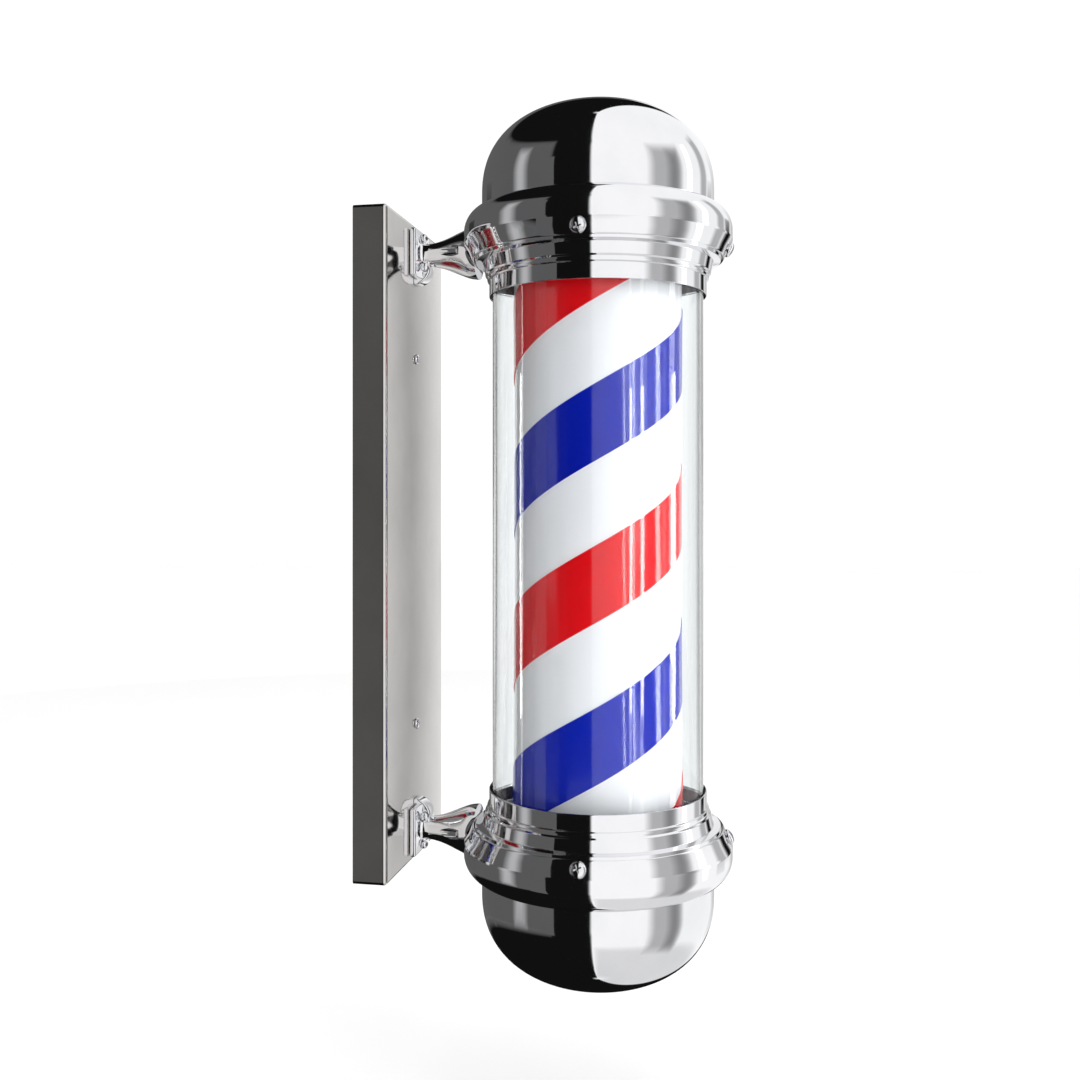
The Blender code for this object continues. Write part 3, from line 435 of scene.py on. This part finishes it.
flange_z = COLLAR_LIP_Z + 27.1 * MM
cone = lip + inward * 1.8 * MM
cone_top = cone + bevel * (bevel_len - 4 * MM)
cone_in = cone + inward * SHEET
cone_in_top = cone_top + inward * SHEET
shelf_z = TUBE_HALF + 3.4 * MM
ridge_z = shelf_z + 1.4 * MM
bore = TUBE_R + 1.2 * MM
for flip, end in ENDS:
    outer = [tuple(lip + inward * 0.1 * MM), tuple(lip + bevel * bevel_len * 0.12),
             tuple(lip + bevel * bevel_len * 0.5 + inward * 0.5 * MM), (BEVEL_R - 0.2 * MM, BEVEL_Z)]
    band = [(SHOULDER_R, BEVEL_Z + 1.5 * MM)] + bulge(SHOULDER_R - SEAM_R, SEAM_Z - BULGE_Z, 26)
    inner = bulge(SHOULDER_R - SEAM_R - SHEET, SEAM_Z - BULGE_Z - SHEET, 12)[::-1]
    inner += [tuple(Vector((BEVEL_R, BEVEL_Z)) + inward * SHEET), tuple(lip + inward * SHEET)]
    dress(spun(end + "_shoulder_spun", eased(outer + band + inner, 0.9 * MM, 6), SIDES, flip),
          end + "_shoulder", 50)

    collar = [(COLLAR_R, COLLAR_LIP_Z), (COLLAR_R, ridge_z), (COLLAR_R + 1.5 * MM, ridge_z + 0.6 * MM),
              (COLLAR_R + 1.8 * MM, ridge_z + 2.3 * MM), (COLLAR_R + 1.6 * MM, ridge_z + 3.9 * MM),
              (COLLAR_R + 3.2 * MM, ridge_z + 5.2 * MM), (NECK_R, flange_z - 0.6 * MM),
              (cone.x - 0.9 * MM, flange_z), tuple(cone), tuple(cone_top), tuple(cone_in_top),
              tuple(cone_in), (cone_in.x - 0.7 * MM, flange_z + SHEET),
              (NECK_R - SHEET, flange_z + SHEET),
              (COLLAR_R + 2.0 * MM, ridge_z + 6.2 * MM), (COLLAR_R + 0.3 * MM, ridge_z + 4.0 * MM),
              (bore, shelf_z + 1.6 * MM), (TUBE_R - 5.5 * MM, shelf_z + 1.6 * MM),
              (TUBE_R - 5.5 * MM, shelf_z), (bore, shelf_z), (bore, COLLAR_LIP_Z)]
    dress(spun(end + "_collar_spun", eased(collar, 0.7 * MM, 6), SIDES, flip), end + "_collar", 50)

    brim = dome_low.z
    skin = 1.2 * MM
    dome = [(DOME_R - skin, brim), (DOME_R + 2.8 * MM, brim), (DOME_R + 2.8 * MM, brim + skin),
            (DOME_R, brim + skin), (DOME_R, SEAM_Z - 6.5 * MM), (DOME_R + 2 * MM, SEAM_Z - 5 * MM),
            (DOME_R + 2 * MM, SEAM_Z - 2.2 * MM), (DOME_R, SEAM_Z - 1.6 * MM)]
    dome = eased(dome, 0.5 * MM, 2)
    crown = dome_curve(DOME_R, SEAM_Z + 14 * MM, DOME_TOP_Z, 44)
    hollow = list(reversed(dome_curve(DOME_R - skin, SEAM_Z + 14 * MM, DOME_TOP_Z - skin, 20)))
    dress(spun(end + "_dome_spun", dome + crown + hollow, SIDES, flip), end + "_dome", 50)

    leg = TUBE_R - 3.3 * MM
    gasket = [(leg - 1.1 * MM, TUBE_HALF - 6 * MM), (leg, TUBE_HALF - 6 * MM), (leg, TUBE_HALF + 0.3 * MM),
              (bore - 0.3 * MM, TUBE_HALF + 0.3 * MM), (bore - 0.3 * MM, shelf_z - 0.3 * MM),
              (leg - 1.1 * MM, shelf_z - 0.3 * MM)]
    dress(spun(end + "_tube_gasket_moulded", eased(gasket, 0.4 * MM, 3), SIDES, flip),
          end + "_tube_gasket")

    seat = lip + bevel * (bevel_len / 2) - inward * 0.45 * MM
    for angle, side in ((math.pi, "near"), (0.0, "far"), (1.5 * math.pi, "front")):
        outward = (-inward.x * math.cos(angle), -inward.x * math.sin(angle), -flip * inward.y)
        place = (seat.x * math.cos(angle), POLE_Y + seat.x * math.sin(angle), flip * seat.y)
        node = f"{end}_flange_screw_{side}"
        round_screw(node + "_head", node, 6 * MM, 3.4 * MM, place, outward, 2 * MM, 6.5 * MM)

wall = 3 * MM
tube = [(TUBE_R, -TUBE_HALF), (TUBE_R, TUBE_HALF),
        (TUBE_R - wall, TUBE_HALF), (TUBE_R - wall, -TUBE_HALF)]
polished_tube = dress(spun("clear_tube_polished", eased(tube, 0.6 * MM, 3), 192), "clear_tube")

# ---- drum ----------------------------------------------------------------------------
skin = 1.2 * MM
shell = [(DRUM_R, -DRUM_HALF), (DRUM_R, DRUM_HALF),
         (DRUM_R - skin, DRUM_HALF), (DRUM_R - skin, -DRUM_HALF)]
dress(spun("drum_tube_opal", eased(shell, 0.3 * MM, 2), 192), "drum_tube")
PITCH = 240.8 * MM
STRIPE_H = 57.5 * MM
BLUE_Z = 87.3 * MM


def stripe(name, node, middle_z):
    """A strip wound right-handed round the drum, its middle at middle_z on the side facing -X."""
    inner, outer = DRUM_R + 0.3 * MM, DRUM_R + 0.68 * MM
    limit = DRUM_HALF - 0.5 * MM
    step = 2 * math.pi / 192
    first = math.pi + 2 * math.pi * (-limit - STRIPE_H / 2 - middle_z) / PITCH
    last = math.pi + 2 * math.pi * (limit + STRIPE_H / 2 - middle_z) / PITCH
    bm = bmesh.new()
    sections = []
    for k in range(math.ceil(first / step), math.floor(last / step) + 1):
        a = k * step
        middle = middle_z + PITCH * (a - math.pi) / (2 * math.pi)
        low = max(middle - STRIPE_H / 2, -limit)
        high = min(middle + STRIPE_H / 2, limit)
        if high - low < 0.5 * MM:
            continue
        edge = 0.12 * MM
        outline = ((inner, low), (outer - edge, low), (outer, low + edge), (outer, high - edge),
                   (outer - edge, high), (inner, high))
        sections.append([bm.verts.new((r * math.cos(a), r * math.sin(a), z)) for r, z in outline])
    for one, two in zip(sections, sections[1:]):
        for k in range(6):
            bm.faces.new([one[k], one[(k + 1) % 6], two[(k + 1) % 6], two[k]])
    bm.faces.new(list(reversed(sections[0])))
    bm.faces.new(sections[-1])
    obj = make(name, bm)
    obj.location = (0, POLE_Y, 0)
    return dress(obj, node)


stripe("blue_stripe_wound", "blue_stripe", BLUE_Z)
stripe("red_stripe_wound", "red_stripe", BLUE_Z - PITCH / 2)

# ---- arms -----------------------------------------------------------------------------
GAP = 0.3 * MM
FOOT_T = 5 * MM
REACH = BOX_FRONT - POLE_Y
HORN_LEN = REACH - SHOULDER_R + 9 * MM
SEAT = REACH - SHOULDER_R - 3.5 * MM
NECK_END = 12 * MM


def flare(t):
    """Arm radius along its widening part, from its neck to its mouth."""
    keys = ((0.0, 0.0), (0.2, 0.12), (0.37, 0.30), (0.54, 0.54), (0.71, 0.79), (0.88, 1.0), (1.0, 1.0))
    for (t0, a), (t1, b) in zip(keys, keys[1:]):
        if t <= t1:
            return a + (b - a) * (t - t0) / (t1 - t0)
    return 1.0


def smooth_flare(t):
    """The same, averaged over a short stretch so that its keys don't show."""
    spread = [flare(min(max(t + d * 0.035, 0), 1)) for d in range(-3, 4)]
    return sum(spread) / len(spread)


for flip, end in ENDS:
    z = flip * ARM_Z
    outline = [(0.0, 1 * MM), (13 * MM, 1 * MM), (13 * MM, FOOT_T + GAP - 0.4 * MM)]
    for k in range(9):
        t = k / 8
        outline.append((9.3 * MM + 2.6 * MM * (1 - t) ** 2.2, FOOT_T + GAP + 4.6 * MM * t ** 1.6))
    for k in range(30):
        t = k / 29
        outline.append((9 * MM + 12 * MM * smooth_flare(t), NECK_END + t * (HORN_LEN - NECK_END)))
    outline.append((0.0, HORN_LEN))
    horn = spun(end + "_horn", outline, 96, 1, (0, 0, 0))
    aim(horn, (0, BOX_FRONT, z), (0, -1, 0))

    envelope = [(60 * MM, COLLAR_LIP_Z), (NECK_R + 0.4 * MM, COLLAR_LIP_Z),
                (NECK_R + 0.4 * MM, flange_z - 0.4 * MM),
                (LIP_R - 1.4 * MM, flange_z - 0.4 * MM), (LIP_R + 0.35 * MM, LIP_Z - 0.35 * MM),
                (BEVEL_R + 0.4 * MM, BEVEL_Z - 0.2 * MM)]
    envelope += bulge(SHOULDER_R - SEAM_R + 0.4 * MM, SEAM_Z - BULGE_Z + 0.4 * MM, 16)
    envelope.append((60 * MM, SEAM_Z + 0.4 * MM))
    tools = [spun("tool", envelope, SIDES, flip)]
    for sx in (-1, 1):
        pocket = bar(4.3 * MM, 30 * MM, (sx * 15.5 * MM, BOX_FRONT - SEAT + 15 * MM, z), (0, 1, 0))
        tools.append(pocket)
    arm = carve(horn, tools)
    foot = slab("foot", (40 * MM, FOOT_T, 38.4 * MM), (0, BOX_FRONT - GAP - FOOT_T / 2, z),
                1.3 * MM, 5)
    lug_z = z - flip * 11 * MM
    lug_outline = eased([(0.0, -7 * MM), (13.5 * MM, -7 * MM), (13.5 * MM, 7 * MM), (0.0, 7 * MM)],
                        1.6 * MM, 5)
    lug = aim(spun("lug", lug_outline, 72, 1, (0, 0, 0)), (0, BOX_FRONT - GAP, lug_z), (1, 0, 0))
    back = slab("tool", (80 * MM, 40 * MM, 90 * MM), (0, BOX_FRONT - GAP + 20 * MM, z), 0)
    carve(arm, [foot, lug], "UNION")
    hollow = bar(4.1 * MM, 1.2 * MM, (-7.0 * MM, BOX_FRONT - FOOT_T - GAP - 3.9 * MM, lug_z),
                 (1, 0, 0))
    carve(arm, [back, hollow])
    dress(arm, end + "_arm", 32)

    low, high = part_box(end + "_lug_screw")
    mid = (low + high) / 2
    round_screw(end + "_lug_screw_head", end + "_lug_screw", 3.4 * MM, 2.2 * MM,
                (-7.3 * MM, mid.y, mid.z), (-1, 0, 0), 1.5 * MM, 8 * MM)
    low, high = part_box(end + "_foot_screw")
    mid = (low + high) / 2
    round_screw(end + "_foot_screw_head", end + "_foot_screw", 3.4 * MM, 4.5 * MM,
                (0, BOX_FRONT - FOOT_T - 2 * GAP, mid.z), (0, -1, 0), 1.5 * MM, 10 * MM)
    for side in ("near", "far"):
        node = f"{end}_saddle_screw_{side}"
        low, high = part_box(node)
        mid = (low + high) / 2
        round_screw(node + "_head", node, 3.3 * MM, 2.6 * MM, (mid.x, BOX_FRONT - SEAT + GAP, mid.z),
                    (0, 1, 0), 1.5 * MM, high.y - low.y - 2.6 * MM)

# ---- studio ---------------------------------------------------------------------------
VIEW_TURN = math.radians(10.74)
view_dir = Vector((math.cos(VIEW_TURN), math.sin(VIEW_TURN), 0))
right = Vector((math.sin(VIEW_TURN), -math.cos(VIEW_TURN), 0))
DISTANCE = 0.9375
SIDEWAYS = 0.0462
HEIGHT = Vector((0, 0, 0.0317))  # of the camera, above the pole's middle
camera_data = bpy.data.cameras.new("camera")
camera = bpy.data.objects.new("camera", camera_data)
bpy.context.scene.collection.objects.link(camera)
camera.location = Vector((0, POLE_Y, 0)) - view_dir * DISTANCE - right * SIDEWAYS + HEIGHT
camera.rotation_euler = (math.pi / 2, 0, VIEW_TURN - math.pi / 2)
camera_data.lens = 39.0
camera_data.sensor_width = 36.0
camera_data.shift_y = -0.0343
camera_data.clip_start = 0.01
bpy.context.scene.camera = camera


def bare(obj, through=True):
    """A studio card that only reflections see, and with through the view through the tube."""
    obj.visible_camera = False
    obj.visible_diffuse = False
    obj.visible_transmission = through
    obj.visible_shadow = False
    return obj


def tone(name, strength):
    """Plain white emission for a card, near 0 for a black one; it fades at a soft card's edges."""
    n = Nodes(name)
    n.set(Base_Color=(0, 0, 0, 1), Specular_IOR_Level=0.0, Roughness=1.0,
          Emission_Color=(1, 1, 1, 1), Emission_Strength=strength)
    fade = n.add("ShaderNodeAttribute", attribute_name="fade")
    n.link(fade.outputs["Fac"], n.shader.inputs["Alpha"])
    return n.mat


def curved_card(name, span, rise, mat, direction, distance, soft, through):
    """A sheet at one distance from the pole, towards direction(a, b), with soft degrees of fade."""
    across = max(4, round(abs(span[1] - span[0]) / 2.5))
    up = max(4, round(abs(rise[1] - rise[0]) / 2.5))
    bm = bmesh.new()
    fade = bm.verts.layers.float.new("fade")
    rows = []
    for i in range(up + 1):
        b = rise[0] + (rise[1] - rise[0]) * i / up
        row = []
        for k in range(across + 1):
            a = span[0] + (span[1] - span[0]) * k / across
            vert = bm.verts.new(distance * direction(math.radians(a), math.radians(b)))
            edge = min(a - span[0], span[1] - a, b - rise[0], rise[1] - b)
            vert[fade] = min(1.0, edge / soft) if soft else 1.0
            row.append(vert)
        rows.append(row)
    for one, two in zip(rows, rows[1:]):
        for k in range(across):
            bm.faces.new([one[k], one[k + 1], two[k + 1], two[k]])
    obj = make(name, bm)
    obj.location = (0, POLE_Y, 0)
    obj.data.materials.append(mat)
    return bare(obj, through)


def patch(name, turn, rise, mat, distance=2.6, soft=0.0, through=True):
    """A card by its turn from the camera, positive to the camera's right, and its elevation."""
    def direction(a, e):
        flat = -view_dir * math.cos(a) + right * math.sin(a)
        return math.cos(e) * flat + Vector((0, 0, math.sin(e)))
    return curved_card(name, turn, rise, mat, direction, distance, soft, through)


def rim(name, angle, clock, mat, distance=2.5, soft=0.0):
    """A card round the line behind the pole, which the outlines of the domes mirror."""
    def direction(c, g):
        around = right * math.cos(c) + Vector((0, 0, math.sin(c)))
        return view_dir * math.cos(g) + around * math.sin(g)
    return curved_card(name, clock, angle, mat, direction, distance, soft, False)


# plain cards round the pole, as a photographer sets them up for chrome
BLACK = tone("card_black", 0.006)
DARK = tone("card_dark", 0.11)
MID = tone("card_mid", 0.27)
LIGHT = tone("card_light", 0.50)
PALE = tone("card_pale", 0.78)
WHITE = tone("card_white", 3.0)

patch("card_left", (-130, -46), (-33, 45), DARK, 2.6, 3)
patch("card_left_far", (-190, -122), (-33, 45), DARK, 2.62, 3, False)
patch("card_left_soft", (-92, -72), (-31, 40), LIGHT, 2.5, 8)
patch("card_top", (-205, -8), (38, 90), BLACK, 2.7, 2)
patch("card_middle", (-56, -8), (-72, 46), BLACK, 2.65, 2)
patch("card_low_left", (-205, -8), (-90, -27), BLACK, 2.7, 2)
patch("card_right", (44, 88), (-50, 42), LIGHT, 2.6, 9)
patch("card_right_deep", (64, 86), (-48, 38), MID, 2.55, 9)
patch("card_right_bright", (92, 100), (-24, 40), WHITE, 2.5, 2)
patch("card_low", (-8, 190), (-90, -38), PALE, 2.72, 6)
patch("card_tube_right", (128, 144), (-22, 22), BLACK, 2.5, 4)
patch("card_tube_left", (216, 232), (-22, 22), BLACK, 2.45, 4)
patch("card_back_left", (139, 168), (-34, 30), LIGHT, 2.9, 14)
patch("card_back_right", (112, 130), (-24, 44), LIGHT, 2.6, 5)
rim("card_rim_top", (2, 15), (14, 166), BLACK, 2.6, 2)
rim("card_rim_low", (2, 15), (194, 346), BLACK, 2.6, 2)

# one more, close by, for the wall box's side
bm = bmesh.new()
bmesh.ops.create_grid(bm, x_segments=2, y_segments=8, size=0.5)
bmesh.ops.scale(bm, vec=(0.11, 0.85, 1), verts=bm.verts[:])
side_card = make("card_box_side", bm)
side_card.data.materials.append(tone("card_side", 0.11))
aim(side_card, (-0.326, 0.069, -0.01), (0.9455, -0.3256, 0))
shade = side_card.data.attributes.new("fade", "FLOAT", "POINT")
for item in shade.data:
    item.value = 1.0
bare(side_card)

FLOOR_Z = cad_low.z - 120 * MM
bm = bmesh.new()
bmesh.ops.create_grid(bm, x_segments=2, y_segments=2, size=9)
floor = make("floor", bm)
floor.location.z = FLOOR_Z
paper = plastic("floor_paper", (0.945, 0.945, 0.945), (0.955, 0.955, 0.955), (0.75, 0.85),
                0.02, 30, 2)
floor.data.materials.append(paper.mat)
floor.visible_glossy = False


def lamp(name, size, power, turn, rise, distance, target=(0, 0, 0)):
    """A soft light, placed as the cards are."""
    data = bpy.data.lights.new(name, "AREA")
    data.shape = "RECTANGLE"
    data.size, data.size_y = size
    data.energy = power
    obj = bpy.data.objects.new(name, data)
    bpy.context.scene.collection.objects.link(obj)
    a, e = math.radians(turn), math.radians(rise)
    flat = -view_dir * math.cos(a) + right * math.sin(a)
    centre = Vector((0, POLE_Y, 0)) + Vector(target)
    obj.location = centre + distance * (flat * math.cos(e) + Vector((0, 0, math.sin(e))))
    obj.rotation_euler = (centre - obj.location).to_track_quat("-Z", "Y").to_euler()
    obj.visible_glossy = False
    return obj


lamp("key", (1.2, 1.6), 20, 50, 18, 2.2)
lamp("fill", (1.2, 1.2), 5, -60, 10, 2.4)
lamp("top", (1.4, 1.4), 8, 0, 75, 2.0)

# narrow lights that only the clear tube mirrors, as bright upright lines
tube_only = bpy.data.collections.new("tube_only")
tube_only.objects.link(polished_tube)
for k, (turn, across) in enumerate(((32, 0.12), (45, 0.17), (84, 0.34), (-94.5, 0.30))):
    strip = lamp(f"strip_{k}", (across, 1.46), 84 * across * 1.46, turn, -2, 2.5, (0, 0, -0.02))
    strip.visible_glossy = True
    strip.light_linking.receiver_collection = tube_only

world = bpy.data.worlds.new("studio")
bpy.context.scene.world = world
world.use_nodes = True
world.node_tree.nodes["Background"].inputs["Color"].default_value = (1, 1, 1, 1)
world.node_tree.nodes["Background"].inputs["Strength"].default_value = 1.05
bpy.context.scene.view_settings.view_transform = "Standard"
